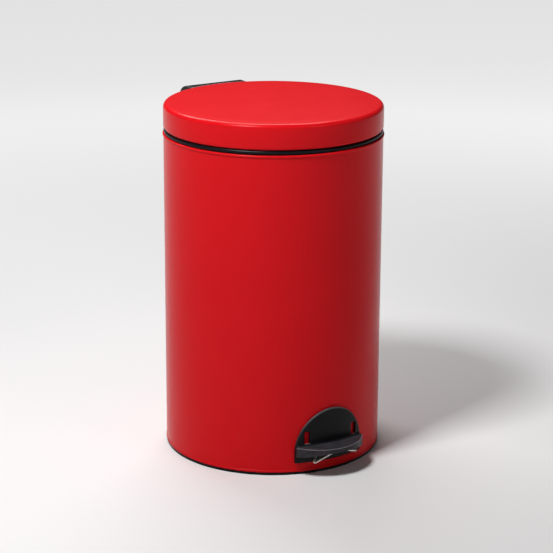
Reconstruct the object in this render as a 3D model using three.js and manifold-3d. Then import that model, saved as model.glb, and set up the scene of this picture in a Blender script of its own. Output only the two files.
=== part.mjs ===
// A round 20 litre pedal can for oily waste: painted steel shell and lid, black plastic
// trims, a galvanised inner bucket, and the linkage that lifts the lid when the pedal is
// pressed. Millimetres, +Z up, origin on the floor under the middle, pedal towards -Y.

import * as THREE from 'three';
import { mergeVertices } from 'three/addons/utils/BufferGeometryUtils.js';
import Module from 'manifold-3d';

const manifold = await Module();
manifold.setup();

// ---------- driving dimensions ----------
const GAP = 0.3; // between pieces that touch
const SEAT_GAP = 0.7; // under a flat head seated in a curved wall
const REAR_START = 120; // y inside the rear wall, where shapes for rear fittings begin
const FRONT = { near: -160, far: -130 }; // y span of a cutter through the front wall
const TURNS = 48; // facets round every large lathe, so concentric pieces line up
const SHEET = 0.6;
const SCREW_HOLE = 2.6; // radii of the holes in sheet and trims
const RIVET_HOLE = 2.3;
const SMALL_HOLE = 2.1;
const SMALL_TURNS = 12; // facets round screws, rivets and pins
const WIRE_SIDES = 6;

const LID = { radius: 147, top: 475, bottom: 441.3, corner: 6, curl: 3 };
const SHELL = { radius: 146.7, bottom: 4, top: 434.8, bead: 148, hem: 147.2 };
const SHELL_INSIDE = SHELL.radius - SHEET;

const RIM = { outer: 146.6, collar: 142.8, seat: 440.5, inner: 133.5, wall: 3, top: 467 };
const BUFFER = { half: 5, depth: 1.3, height: 6 };
const RIM_NOTCH = 14; // width of the rear gap that the rod and the crank pass
const FOOT = { outer: 146.6, inner: 140.5, flange: 3.7, height: 11.5, wall: 2.1 };
const PAN = { under: 39.2, top: 40.2, radius: 145.5, flange: 1.1, skirt: 34.5 };

const BUCKET = { foot: 40.5, floor: 43.5, base: 122.5, mouth: 127.6, top: 432, rim: 131.5 };
const BUCKET_WALL = 0.7;
const LUG = { width: 14, bottom: 402, top: 441, inner: 124, outer: 125.4 };
const LUG_RIVETS = [409, 420];
const BAIL = { radius: 129, height: 434.6, wire: 2, end: 121 };

const PIN = { y: 154.5, z: 452, radius: 2.5, reach: 46.3 };
const COVER = { half: 46, wall: 3, top: 473.2, skin: 2.6, corner: 4 };
const BRACKET = { half: 52, bottom: 372, top: 428, inner: 147, outer: 151 };
const EAR = { inner: 35, outer: 41, boss: 7 };
const HANDLE = { half: 50, reach: 176.5, bar: 8.5, bottom: 392, top: 412, gapHalf: 39,
  corner: 14, gapCorner: 6 };
const BRACKET_SCREWS = { degrees: 10, heights: [382, 418] }; // off the rear centre line
const LID_RIVETS = { degrees: 11, height: 462 };

const CRANK = { radius: 15.8, rest: THREE.MathUtils.degToRad(40), thick: 2.5, nose: 3, width: 10 };
const ROD = { y: 140.5, radius: 2, foot: 13.9, top: 438 };
const ROD_CAP = { radius: 3, height: 8 };
const ROD_FOOT = { radius: 3.6, height: 4 };
const ROD_GRIP = 2; // wall left past the end of the rod in its cap and foot
const GUIDE = { half: 7, front: 136, back: 145.1, bottom: 400, top: 410 };
const LOWER_GUIDE = { radius: 3.3, flange: 3.9, below: 0.5, above: 1.5 }; // in the base pan

const SHIELD = { inner: 148, outer: 151.4, bottom: 17, waist: 30, top: 89, half: 51.8 };
const TREAD = { top: 41, thick: 2.8, front: 176.5, lip: 2.6, endDrop: 16, midDrop: 6,
  ends: 4.7 };
const SLOT = { x: 36.4, width: 8, bottom: 27, top: 60.6 };
const TAB = { width: 4, bottom: 27.8, top: 45.2, reach: 150 };
const RIDGE = { width: 3, top: 74, reach: 147.2 };

const WIRE = 2; // radius of the lever wire
const LEVER_SLOT = 3.5; // half the width of its slots in the shell
const ARM = { x: 27, frontY: -154, frontZ: 31.4, rearY: 139, rearZ: 10 };
const WIRE_CORNER = new THREE.Vector3(34, -158.5, 24);
const WIRE_DIP = 4; // the left corner of the bow is bent lower than the right one
const WIRE_APEX = new THREE.Vector3(0, -166, 35.5);
const AXLE = { y: -42, z: 18.5, radius: 2.5, half: 52 };
const BEARING = { inner: 38, outer: 50, half: 8, bottom: 13 };
const SHOE = { half: 9, depth: 6.8, height: 6.8 };

// ---------- finishes ----------
function finish(color, roughness, metalness) {
  return () => new THREE.MeshStandardMaterial({ color, roughness, metalness });
}
const redPaint = finish(0xc4181c, 0.35, 0.0);
const blackPlastic = finish(0x1b1b1e, 0.5, 0.0);
const zincWire = finish(0xb9b4ac, 0.35, 1.0);
const galvanised = finish(0xa9adb0, 0.45, 1.0);
const blackRubber = finish(0x151515, 0.9, 0.0);

// ---------- shape helpers ----------
const ALONG_X = new THREE.Matrix4().makeBasis(
  new THREE.Vector3(0, 1, 0), new THREE.Vector3(0, 0, 1), new THREE.Vector3(1, 0, 0));

function points(pairs) {
  return pairs.map(([u, v]) => new THREE.Vector2(u, v));
}

function polygon(pairs) {
  return new THREE.Shape(points(pairs));
}

function circle(radius, u = 0, v = 0) {
  return new THREE.Shape().absarc(u, v, radius, 0, 2 * Math.PI, false);
}

function rectangle(u0, u1, v0, v1) {
  return polygon([[u0, v0], [u1, v0], [u1, v1], [u0, v1]]);
}

// A profile of [radius, height] pairs spun round Z.
function spun(pairs, segments = TURNS) {
  const profile = points(pairs);
  const onAxis = pairs[0][0] === 0;
  if (!onAxis) profile.push(profile[0].clone());
  return new THREE.LatheGeometry(profile, segments).rotateX(Math.PI / 2);
}

function extruded(shape, depth, curveSegments = 8) {
  return new THREE.ExtrudeGeometry(shape, { depth, bevelEnabled: false, curveSegments });
}

// A shape drawn in Y and Z, pushed from x0 to x1.
function acrossX(shape, x0, x1, curveSegments) {
  return extruded(shape, x1 - x0, curveSegments).applyMatrix4(ALONG_X).translate(x0, 0, 0);
}

// A shape drawn in X and Z, pushed from y0 back to y1.
function acrossY(shape, y0, y1, curveSegments) {
  return extruded(shape, y1 - y0, curveSegments).rotateX(Math.PI / 2).translate(0, y1, 0);
}

function upwards(shape, z0, z1, curveSegments) {
  return extruded(shape, z1 - z0, curveSegments).translate(0, 0, z0);
}

function box(x0, x1, y0, y1, z0, z1) {
  return upwards(rectangle(x0, x1, y0, y1), z0, z1);
}

function disc(radius, z0, z1) {
  return spun([[0, z0], [radius, z0], [radius, z1], [0, z1]]);
}

function flipped(point) {
  return new THREE.Vector3(-point.x, point.y, point.z);
}

// A straight path with each corner rounded off over the given length.
function roundedPath(corners, round) {
  const path = new THREE.CurvePath();
  let from = corners[0];
  for (let i = 1; i < corners.length - 1; i += 1) {
    const corner = corners[i];
    const into = corner.clone().sub(corners[i - 1]).setLength(round);
    const out = corners[i + 1].clone().sub(corner).setLength(round);
    const start = corner.clone().sub(into);
    const end = corner.clone().add(out);
    path.add(new THREE.LineCurve3(from, start));
    path.add(new THREE.QuadraticBezierCurve3(start, corner, end));
    from = end;
  }
  path.add(new THREE.LineCurve3(from, corners.at(-1)));
  return path;
}

function wireAlong(path, radius, steps) {
  const section = polygon(Array.from({ length: WIRE_SIDES }, (_, i) => {
    const turn = (i * 2 * Math.PI) / WIRE_SIDES;
    return [radius * Math.cos(turn), radius * Math.sin(turn)];
  }));
  return new THREE.ExtrudeGeometry(section, { steps, bevelEnabled: false, extrudePath: path });
}

function signedVolume(geometry) {
  const { position } = geometry.attributes;
  const { array: corner } = geometry.index;
  const [a, b, c] = [new THREE.Vector3(), new THREE.Vector3(), new THREE.Vector3()];
  let volume = 0;
  for (let i = 0; i < corner.length; i += 3) {
    a.fromBufferAttribute(position, corner[i]);
    b.fromBufferAttribute(position, corner[i + 1]);
    c.fromBufferAttribute(position, corner[i + 2]);
    volume += a.dot(b.cross(c)) / 6;
  }
  return volume;
}

// Turns a geometry into a manifold solid with its faces pointing out.
function solid(geometry) {
  const bare = geometry.clone();
  bare.deleteAttribute('normal');
  bare.deleteAttribute('uv');
  const merged = mergeVertices(bare, 1e-4);
  const triVerts = Uint32Array.from(merged.index.array);
  if (signedVolume(merged) < 0) triVerts.reverse();
  const vertProperties = Float32Array.from(merged.attributes.position.array);
  return new manifold.Manifold(new manifold.Mesh({ numProp: 3, vertProperties, triVerts }));
}

function joined(first, ...rest) {
  return rest.reduce((whole, next) => whole.add(solid(next)), solid(first));
}

function cut(whole, ...tools) {
  return tools.reduce((left, tool) => left.subtract(solid(tool)), whole);
}

function geometryOf(body) {
  const mesh = body.getMesh();
  const geometry = new THREE.BufferGeometry();
  const { numProp, vertProperties } = mesh;
  const position = new Float32Array((vertProperties.length / numProp) * 3);
  for (let i = 0; i < position.length / 3; i += 1) {
    position.set(vertProperties.subarray(i * numProp, i * numProp + 3), i * 3);
  }
  geometry.setAttribute('position', new THREE.BufferAttribute(position, 3));
  geometry.setIndex(new THREE.BufferAttribute(Uint32Array.from(mesh.triVerts), 1));
  geometry.computeVertexNormals();
  return geometry;
}

function piece(name, shape, material) {
  const body = shape instanceof THREE.BufferGeometry ? solid(shape) : shape;
  const mesh = new THREE.Mesh(geometryOf(body), material());
  mesh.name = name;
  return mesh;
}

// A rivet or screw lying along +X from the origin: inner head, shank, optional outer head.
function fastener(headRadius, headHeight, shankRadius, length, tailRadius = 0) {
  const profile = [[0, -headHeight], [headRadius * 0.7, -headHeight], [headRadius, 0]];
  profile.push([shankRadius, 0], [shankRadius, length]);
  if (tailRadius) profile.push([tailRadius, length], [tailRadius * 0.7, length + 1]);
  profile.push([0, profile.at(-1)[1]]);
  return spun(profile, SMALL_TURNS).rotateY(Math.PI / 2);
}

// Angle round Z of a spot on the rear wall, so many degrees off the rear centre line.
function rearBearing(degrees) {
  return THREE.MathUtils.degToRad(90 - degrees);
}

// Places something built along +X so that it points outwards through the rear wall.
function radially(mesh, degrees, radius, z) {
  const bearing = rearBearing(degrees);
  mesh.rotation.z = bearing;
  mesh.position.set(radius * Math.cos(bearing), radius * Math.sin(bearing), z);
  return mesh;
}

function radialHole(radius, degrees, z) {
  return acrossX(circle(radius), LID.radius - 8, LID.radius + 8, 4)
    .rotateZ(rearBearing(degrees)).translate(0, 0, z);
}

function mirrored(make) {
  return [make(-1), make(1)];
}

// ---------- body ----------
function bodyShell() {
  const { radius, bottom, top, bead, hem } = SHELL;
  const inside = SHELL_INSIDE;
  const tube = spun([
    [inside, bottom + 0.4], [inside + 0.2, bottom], [hem - 0.2, bottom], [hem, bottom + 1],
    [hem, bottom + 2.6], [radius, bottom + 3.2], [radius, top - 4.2], [bead - 0.4, top - 3.8],
    [bead, top - 2.8], [bead, top - 1.4], [bead - 0.6, top - 0.3], [inside + 0.7, top],
    [inside, top - 0.6]]);
  const tabs = mirrored((side) => {
    const at = side * SLOT.x;
    const face = Math.sqrt(TAB.reach ** 2 - SLOT.x ** 2);
    const root = Math.sqrt((SHELL_INSIDE + 0.3) ** 2 - SLOT.x ** 2);
    return box(at - TAB.width / 2, at + TAB.width / 2, -face, -root, TAB.bottom, TAB.top);
  });
  const ridges = mirrored((side) => {
    const at = side * SLOT.x;
    const face = Math.sqrt(RIDGE.reach ** 2 - SLOT.x ** 2);
    const root = Math.sqrt((SHELL_INSIDE + 0.3) ** 2 - SLOT.x ** 2);
    return box(at - RIDGE.width / 2, at + RIDGE.width / 2, -face, -root, TAB.bottom, RIDGE.top);
  });
  const leverSlots = mirrored((side) => {
    const at = side * ARM.x;
    return box(at - LEVER_SLOT, at + LEVER_SLOT, FRONT.near, FRONT.far, SHIELD.bottom - 0.6,
      ARM.frontZ + WIRE + 0.8);
  });
  const screwHoles = BRACKET_SCREWS.heights.flatMap((z) => mirrored((side) =>
    radialHole(SCREW_HOLE, side * BRACKET_SCREWS.degrees, z)));
  return cut(joined(tube, ...tabs, ...ridges), ...leverSlots, ...screwHoles);
}

function basePan() {
  const { under, top, radius, flange, skirt } = PAN;
  const tray = solid(spun([
    [0, under], [radius - flange, under], [radius - flange, skirt], [radius, skirt],
    [radius, top], [0, top]]));
  const rodHole = upwards(circle(3.6, 0, ROD.y), skirt, top + 5, 4);
  const bearingX = (BEARING.inner + BEARING.outer) / 2;
  const screwHoles = mirrored((side) => upwards(circle(RIVET_HOLE, side * bearingX, AXLE.y), skirt, top + 5, 4));
  return cut(tray, rodHole, ...screwHoles);
}

function footRing() {
  const { outer, inner, flange, height, wall } = FOOT;
  const upstand = SHELL_INSIDE - GAP;
  return spun([
    [inner, 0], [outer - 0.1, 0], [outer, 1], [outer - 0.2, flange], [upstand, flange],
    [upstand, height], [upstand - wall, height], [upstand - wall, 4], [inner, 2.5]]);
}

function rimRing() {
  const { outer, collar, seat, inner, wall, top } = RIM;
  const rest = SHELL.top + GAP;
  const plug = SHELL_INSIDE - 0.4;
  const ring = solid(spun([
    [inner, seat - 3], [inner, top], [inner + wall, top], [inner + wall, seat],
    [outer - 2.1, seat], [outer - 0.3, seat - 0.9], [outer, seat - 2.5], [outer - 0.3, rest + 0.9],
    [outer - 0.7, rest], [plug, rest], [plug, rest - 11], [collar, rest - 11], [collar, seat - 3]]));
  return cut(ring, box(-RIM_NOTCH / 2, RIM_NOTCH / 2, 120, 150, 400, 480));
}

function rimBuffer() {
  const { half, depth, height } = BUFFER;
  const radius = RIM.inner + RIM.wall / 2;
  return box(-half, half, -radius - depth, -radius + depth, RIM.top + GAP, RIM.top + height);
}

// The plan of the handle or of its finger gap: a U from inside the shell, with round corners.
function roundedU(half, reach, corner) {
  const shape = new THREE.Shape();
  shape.moveTo(-half, REAR_START);
  shape.lineTo(-half, reach - corner);
  shape.absarc(-half + corner, reach - corner, corner, Math.PI, Math.PI / 2, true);
  shape.absarc(half - corner, reach - corner, corner, Math.PI / 2, 0, true);
  shape.lineTo(half, REAR_START);
  return shape;
}

function hingeBracket() {
  const { half, bottom, top, inner, outer } = BRACKET;
  const plate = solid(disc(outer, bottom, top))
    .intersect(solid(box(-half, half, REAR_START, 200, bottom, top)));
  const ears = mirrored((side) => {
    const near = side < 0 ? -EAR.outer : EAR.inner;
    const far = near + EAR.outer - EAR.inner;
    const arm = polygon([
      [142.5, top - 14], [150.5, top - 14], [PIN.y + 6.4, PIN.z - 2.8], [PIN.y, PIN.z + 2],
      [PIN.y - 6.6, PIN.z - 2.3], [144.5, 439.5], [142.5, 436]]);
    const boss = circle(EAR.boss, PIN.y, PIN.z);
    return joined(acrossX(arm, near, far), acrossX(boss, near, far));
  });
  const grip = roundedU(HANDLE.half, HANDLE.reach, HANDLE.corner);
  const fingers = roundedU(HANDLE.gapHalf, HANDLE.reach - HANDLE.bar, HANDLE.gapCorner);
  const loop = cut(solid(upwards(grip, HANDLE.bottom, HANDLE.top)),
    upwards(fingers, HANDLE.bottom - 1, HANDLE.top + 1));
  const whole = plate.add(loop).add(ears[0]).add(ears[1]);
  const screwHoles = BRACKET_SCREWS.heights.flatMap((z) => mirrored((side) =>
    radialHole(SCREW_HOLE, side * BRACKET_SCREWS.degrees, z)));
  return cut(whole, disc(inner, bottom - 1, top + 1), ...screwHoles,
    disc(SHELL.bead + GAP, SHELL.top - 5, RIM.seat + GAP),
    acrossX(circle(PIN.radius + GAP, PIN.y, PIN.z), -60, 60, 5));
}

function hingePin() {
  const { radius, reach } = PIN;
  const pin = spun([[0, -reach], [radius, -reach], [radius, reach + 0.5], [4, reach + 0.5],
    [3.4, reach + 1.9], [0, reach + 1.9]], SMALL_TURNS);
  return pin.rotateY(Math.PI / 2).translate(0, PIN.y, PIN.z);
}

function pinRetainer() {
  const at = -COVER.half - 0.5;
  return acrossX(circle(4, PIN.y, PIN.z), at - 1.6, at, 5);
}

function leverBearing(side) {
  const near = side < 0 ? -BEARING.outer : BEARING.inner;
  const far = near + BEARING.outer - BEARING.inner;
  const block = solid(box(near, far, AXLE.y - BEARING.half, AXLE.y + BEARING.half, BEARING.bottom, PAN.under - GAP));
  const middle = (near + far) / 2;
  return cut(block, acrossX(circle(AXLE.radius + GAP, AXLE.y, AXLE.z), near - 1, far + 1, 5),
    upwards(circle(RIVET_HOLE, middle, AXLE.y), PAN.under - 10, PAN.under + 1, 4));
}

function bearingScrew() {
  return fastener(4, 1.9, 2, 9).rotateY(Math.PI / 2);
}

function rodGuideUpper() {
  const { half, front, back, bottom, top } = GUIDE;
  return cut(solid(box(-half, half, front, back, bottom, top)),
    upwards(circle(ROD.radius + GAP, 0, ROD.y), bottom - 1, top + 1, 5));
}

function rodGuideLower() {
  const bore = ROD.radius + GAP;
  const { radius, flange, below, above } = LOWER_GUIDE;
  return spun([[bore, PAN.under - below], [radius, PAN.under - below], [radius, PAN.top + GAP],
    [flange, PAN.top + GAP], [flange, PAN.top + above], [bore, PAN.top + above]], SMALL_TURNS)
    .translate(0, ROD.y, 0);
}

// ---------- lid ----------
function lidShell() {
  const { radius, top, bottom, corner, curl } = LID;
  const outer = [];
  const inner = [];
  for (let i = 0; i <= 3; i += 1) {
    const turn = (i / 3) * (Math.PI / 2);
    outer.push([radius - corner + corner * Math.sin(turn), top - 0.6 - corner + corner * Math.cos(turn)]);
    const small = corner - SHEET;
    inner.unshift([radius - corner + small * Math.sin(turn), top - 0.6 - corner + small * Math.cos(turn)]);
  }
  const hem = [];
  const hemInside = [];
  for (let i = 0; i <= 3; i += 1) {
    const turn = (i / 3) * (Math.PI * 0.8);
    hem.push([radius - curl + curl * Math.cos(turn), bottom + curl - curl * Math.sin(turn)]);
    const small = curl - SHEET;
    hemInside.unshift([radius - curl + small * Math.cos(turn), bottom + curl - small * Math.sin(turn)]);
  }
  const bowl = solid(spun([[0, top], [110, top - 0.2], ...outer, ...hem, ...hemInside, ...inner,
    [110, top - 0.2 - SHEET], [0, top - SHEET]]));
  const crankNotch = box(-RIM_NOTCH / 2, RIM_NOTCH / 2, 130, 150, bottom - 1, 449);
  const holes = [-1, 0, 1].map((step) =>
    radialHole(RIVET_HOLE, step * LID_RIVETS.degrees, LID_RIVETS.height));
  return cut(bowl, crankNotch, ...holes);
}

function lidHingeCover() {
  const { half, wall, top, skin, corner } = COVER;
  const bend = top - PIN.z;
  const quarter = (radius, front) => {
    const shape = new THREE.Shape();
    shape.moveTo(front, PIN.z);
    shape.lineTo(PIN.y + radius, PIN.z);
    shape.absarc(PIN.y, PIN.z, radius, 0, Math.PI / 2, false);
    shape.lineTo(front, PIN.z + radius);
    return shape;
  };
  const face = new THREE.Shape();
  face.moveTo(-half, PIN.z - 1);
  face.lineTo(half, PIN.z - 1);
  face.absarc(half - corner, top - corner, corner, 0, Math.PI / 2, false);
  face.absarc(-half + corner, top - corner, corner, Math.PI / 2, Math.PI, false);
  const hood = solid(acrossX(quarter(bend, 125), -half, half))
    .intersect(solid(acrossY(face, 120, 180)));
  const frontWall = LID.radius + GAP + 2.5;
  const hollow = solid(acrossX(quarter(bend - skin, 120), -half + wall, half - wall))
    .add(solid(acrossX(rectangle(120, PIN.y + bend - skin, PIN.z - 2, PIN.z + 1), -half + wall, half - wall)))
    .subtract(solid(disc(frontWall, PIN.z - 5, top + 1)));
  const bosses = mirrored((side) => {
    const near = side < 0 ? -half : half - wall;
    return acrossX(circle(6.3, PIN.y, PIN.z), near, near + wall);
  });
  const shell = hood.subtract(hollow).add(solid(bosses[0])).add(solid(bosses[1]));
  const holes = [-1, 0, 1].map((step) =>
    radialHole(RIVET_HOLE, step * LID_RIVETS.degrees, LID_RIVETS.height));
  return cut(shell, disc(LID.radius + GAP, PIN.z - 10, top + 1), ...holes,
    acrossX(circle(PIN.radius + GAP, PIN.y, PIN.z), -60, 60, 5));
}

function lidCrank() {
  const { radius, rest, thick, nose, width } = CRANK;
  const tip = [PIN.y - radius * Math.cos(rest), PIN.z - radius * Math.sin(rest)];
  const side = [(thick / 2) * Math.sin(rest), (thick / 2) * Math.cos(rest)];
  const arm = polygon([
    [PIN.y - side[0], PIN.z + side[1]], [tip[0] - side[0], tip[1] + side[1]],
    [tip[0] + side[0], tip[1] - side[1]], [PIN.y + side[0], PIN.z - side[1]]]);
  const leg = rectangle(LID.radius + GAP + 2.5 + GAP, LID.radius + 5.3, PIN.z, 467);
  const x = width / 2;
  const plate = joined(acrossX(arm, -x, x), acrossX(circle(nose, ...tip), -x, x, 6),
    acrossX(circle(4.2, PIN.y, PIN.z), -x, x, 6), acrossX(leg, -x, x));
  return cut(plate, acrossX(circle(PIN.radius + GAP, PIN.y, PIN.z), -x - 1, x + 1, 5),
    radialHole(RIVET_HOLE, 0, LID_RIVETS.height));
}

function lidRivet(step) {
  const grip = step === 0 ? 7.2 : 4.7;
  const rivet = piece(`lid_rivet_${step + 2}`, fastener(3.6, 1.6, 2, grip, 3.4), zincWire);
  return radially(rivet, step * LID_RIVETS.degrees, LID.radius - SHEET - SEAT_GAP, LID_RIVETS.height);
}

// ---------- pedal ----------
function pedal() {
  const { inner, outer, bottom, waist, top, half } = SHIELD;
  const tube = solid(spun([[inner, bottom], [outer, bottom], [outer, top], [inner, top]]));
  const dome = new THREE.Shape();
  dome.moveTo(-half, bottom);
  dome.lineTo(half, bottom);
  dome.absellipse(0, waist, half, top - waist, 0, Math.PI, false);
  const guideSlots = mirrored((side) => {
    const at = side * SLOT.x;
    return box(at - SLOT.width / 2, at + SLOT.width / 2, FRONT.near, FRONT.far, SLOT.bottom, SLOT.top);
  });
  const wireSlots = mirrored((side) => {
    const at = side * ARM.x;
    return box(at - 4, at + 4.5, FRONT.near, FRONT.far, ARM.frontZ - 3.6, ARM.frontZ + 4.8);
  });
  const shield = cut(tube.intersect(solid(acrossY(dome, FRONT.near, FRONT.far, 12))),
    ...guideSlots, ...wireSlots);

  const root = outer - 0.4;
  const depth = TREAD.front - Math.sqrt(outer ** 2 - half ** 2) - TREAD.ends;
  const bow = (half ** 2 + depth ** 2) / (2 * depth);
  const centre = -TREAD.front + bow;
  const sweep = Math.asin(half / bow);
  const outline = (inset) => {
    const shape = new THREE.Shape();
    shape.moveTo(-half + inset, -REAR_START);
    shape.absarc(0, centre, bow - inset, -Math.PI / 2 - sweep, -Math.PI / 2 + sweep, false);
    shape.lineTo(half - inset, -REAR_START);
    return shape;
  };
  const plate = solid(upwards(outline(0), TREAD.top - TREAD.thick, TREAD.top, 16));
  const low = TREAD.top - TREAD.endDrop;
  const lip = cut(solid(upwards(outline(0), low, TREAD.top, 16)),
    upwards(outline(TREAD.lip), low - 1, TREAD.top + 1, 16));
  const arch = new THREE.Shape();
  arch.moveTo(-half, low);
  arch.quadraticCurveTo(0, 2 * (TREAD.top - TREAD.midDrop) - low, half, low);
  const tread = plate.add(cut(lip, acrossY(arch, -200, -130, 12)));
  return shield.add(cut(tread, disc(root, 0, 100)));
}

// ---------- lever and push rod ----------
function leverWire() {
  const { x, frontY, frontZ, rearY, rearZ } = ARM;
  const half = [
    new THREE.Vector3(0.8, rearY, rearZ), new THREE.Vector3(x, rearY, rearZ),
    new THREE.Vector3(x, frontY, frontZ), WIRE_CORNER.clone()];
  const other = half.map(flipped).reverse();
  other[0].z -= WIRE_DIP;
  return wireAlong(roundedPath([...half, WIRE_APEX.clone(), ...other], 4), WIRE, 80);
}

function leverAxle() {
  return acrossX(circle(AXLE.radius, AXLE.y, AXLE.z), -AXLE.half, AXLE.half, 4);
}

function leverShoe() {
  const { half, depth, height } = SHOE;
  const block = solid(box(-half, half, ARM.rearY - depth / 2, ARM.rearY + depth / 2,
    ARM.rearZ - height / 2, ARM.rearZ + height / 2));
  return cut(block, acrossX(circle(WIRE + GAP, ARM.rearY, ARM.rearZ), -half - 1, half + 1, 4));
}

function pushRod() {
  return upwards(circle(ROD.radius, 0, ROD.y), ROD.foot + ROD_GRIP, ROD.top - ROD_GRIP, 4);
}

function rodEnd(radius, z0, z1, boreZ0, boreZ1) {
  return cut(solid(upwards(circle(radius, 0, ROD.y), z0, z1, 5)),
    upwards(circle(ROD.radius + GAP, 0, ROD.y), boreZ0, boreZ1, 4));
}

function rodCap() {
  return rodEnd(ROD_CAP.radius, ROD.top - ROD_CAP.height, ROD.top,
    ROD.top - ROD_CAP.height - 1, ROD.top - ROD_GRIP + GAP);
}

function rodFoot() {
  return rodEnd(ROD_FOOT.radius, ROD.foot, ROD.foot + ROD_FOOT.height,
    ROD.foot + ROD_GRIP - GAP, ROD.foot + ROD_FOOT.height + 1);
}

// ---------- bucket ----------
function innerBucket() {
  const { foot, floor, base, mouth, top, rim } = BUCKET;
  const wall = BUCKET_WALL;
  const pail = solid(spun([
    [0, floor], [base - 5.5, floor], [base - 4, foot], [base - 1, foot], [base, foot + 1.5],
    [mouth, top - 5], [rim - 0.3, top - 4.5], [rim, top - 2], [rim - 1.5, top], [mouth + 0.6, top - 1],
    [mouth - wall, top - 4], [base - wall - 0.7, floor + wall + 1], [base - wall - 2, floor + wall],
    [0, floor + wall]]));
  const holes = LUG_RIVETS.flatMap((z) => mirrored((side) =>
    acrossX(circle(SMALL_HOLE, 0, z), side * 126 - 8, side * 126 + 8, 4)));
  return cut(pail, ...holes);
}

function bailLug(side) {
  const { width, bottom, top, inner, outer } = LUG;
  const near = side < 0 ? -outer : inner;
  const shape = new THREE.Shape();
  shape.moveTo(-width / 2, bottom);
  shape.lineTo(width / 2, bottom);
  shape.absarc(0, top - width / 2, width / 2, 0, Math.PI, false);
  const plate = solid(acrossX(shape, near, near + outer - inner));
  return cut(plate, ...[BAIL.height, ...LUG_RIVETS].map((z) =>
    acrossX(circle(z === BAIL.height ? BAIL.wire + GAP : SMALL_HOLE, 0, z), near - 1, near + 4, 4)));
}

function lugRivet(side, z, name) {
  const rivet = piece(name, fastener(3.4, 1.4, 1.8, 4.4, 3.2), zincWire);
  rivet.rotation.z = side < 0 ? Math.PI : 0;
  rivet.position.set(side * (LUG.inner - GAP), 0, z);
  return rivet;
}

function bailWire() {
  const { radius, height, wire, end } = BAIL;
  const bend = 2.7;
  const lean = Math.asin(bend / radius);
  const hoop = [];
  for (let i = 0; i <= 36; i += 1) {
    const turn = -lean - (i / 36) * (Math.PI - 2 * lean);
    hoop.push(new THREE.Vector3(radius * Math.cos(turn), radius * Math.sin(turn), height));
  }
  const [toe, heel] = [new THREE.Vector3(end, 0, height), new THREE.Vector3(radius - bend, 0, height)];
  const path = new THREE.CatmullRomCurve3([
    toe, toe.clone().lerp(heel, 0.5), heel, ...hoop, flipped(heel), flipped(toe).lerp(flipped(heel), 0.5),
    flipped(toe)]);
  return wireAlong(path, wire, 80);
}

// ---------- assembly ----------
function group(name, ...children) {
  const holder = new THREE.Group();
  holder.name = name;
  return holder.add(...children);
}

const bufferBearings = [-70, 0, 70];
const buffers = bufferBearings.map((degrees, i) => {
  const buffer = piece(`rim_buffer_${i + 1}`, rimBuffer(), blackRubber);
  buffer.rotation.z = THREE.MathUtils.degToRad(degrees);
  return buffer;
});

const bracketScrews = BRACKET_SCREWS.heights.flatMap((z, row) => mirrored((side) => {
  const number = 2 * row + (side < 0 ? 1 : 2);
  const screw = piece(`bracket_screw_${number}`, fastener(4.5, 2.2, 2.2, 4.6), zincWire);
  return radially(screw, side * BRACKET_SCREWS.degrees, SHELL_INSIDE - SEAT_GAP, z);
}));

const bearingScrews = mirrored((side) => {
  const screw = piece(side < 0 ? 'bearing_screw_left' : 'bearing_screw_right', bearingScrew(), zincWire);
  screw.position.set((side * (BEARING.inner + BEARING.outer)) / 2, AXLE.y, PAN.top + GAP);
  return screw;
});

const body = group('body',
  piece('body_shell', bodyShell(), redPaint),
  piece('base_pan', basePan(), galvanised),
  piece('foot_ring', footRing(), blackPlastic),
  piece('rim_ring', rimRing(), blackPlastic),
  piece('hinge_bracket', hingeBracket(), blackPlastic),
  piece('hinge_pin', hingePin(), zincWire),
  piece('pin_retainer', pinRetainer(), zincWire),
  piece('lever_bearing_left', leverBearing(-1), blackPlastic),
  piece('lever_bearing_right', leverBearing(1), blackPlastic),
  piece('rod_guide_upper', rodGuideUpper(), blackPlastic),
  piece('rod_guide_lower', rodGuideLower(), blackPlastic),
  ...buffers, ...bracketScrews, ...bearingScrews);

const lid = group('lid',
  piece('lid_shell', lidShell(), redPaint),
  piece('lid_hinge_cover', lidHingeCover(), blackPlastic),
  piece('lid_crank', lidCrank(), zincWire),
  ...[-1, 0, 1].map(lidRivet));

const lever = group('lever',
  piece('lever_wire', leverWire(), zincWire),
  piece('lever_axle', leverAxle(), zincWire),
  piece('lever_shoe', leverShoe(), blackPlastic));

const rod = group('rod',
  piece('push_rod', pushRod(), zincWire),
  piece('rod_cap', rodCap(), blackPlastic),
  piece('rod_foot', rodFoot(), blackPlastic));

const lugRivets = LUG_RIVETS.flatMap((z, row) => mirrored((side) =>
  lugRivet(side, z, `lug_rivet_${2 * row + (side < 0 ? 1 : 2)}`)));

const bucket = group('bucket',
  piece('inner_bucket', innerBucket(), galvanised),
  piece('bail_lug_left', bailLug(-1), galvanised),
  piece('bail_lug_right', bailLug(1), galvanised),
  ...lugRivets,
  piece('bail_wire', bailWire(), zincWire));

export default group('pedal_can', body, lid, piece('pedal', pedal(), blackPlastic), lever, rod, bucket);
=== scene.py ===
# %% [markdown]
# # A pedal can for oily waste
# The can is a painted steel shell and lid with black moulded trims, a galvanised bucket inside and a wire
# linkage underneath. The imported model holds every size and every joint. This lesson loads it, and dresses
# each part in a finer mesh and a finish of its own, without moving anything.

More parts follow.
